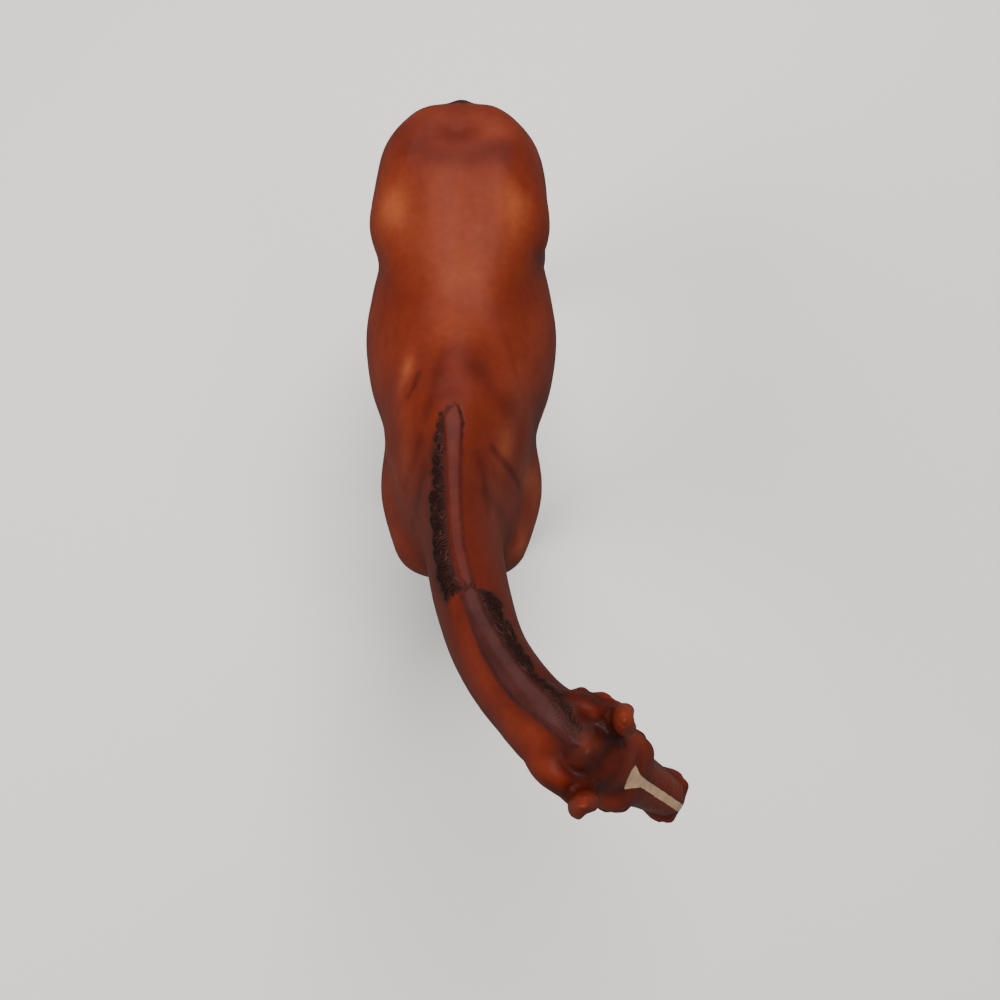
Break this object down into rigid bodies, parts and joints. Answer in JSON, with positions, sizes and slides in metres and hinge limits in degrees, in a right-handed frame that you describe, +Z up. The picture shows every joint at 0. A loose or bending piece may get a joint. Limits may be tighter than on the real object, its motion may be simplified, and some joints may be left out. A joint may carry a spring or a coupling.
{
  "type": "horse figurine",
  "caption": "Standing horse figurine moulded in one piece, a stocky mare with its head lowered and turned to its left, resting on flat hoof soles.",
  "frame": {"origin": "on the ground, at the middle of the figurine's length and width", "axes": "+Z up, -Y the way the horse's body faces, +X its left side; the head is turned towards +X"},
  "size_m": [0.1112, 0.2764, 0.2261],
  "materials": {
    "body": "satin, airbrushed chestnut"
  },
  "bodies": {
    "root": {"horse": "body"}
  },
  "joints": []
}
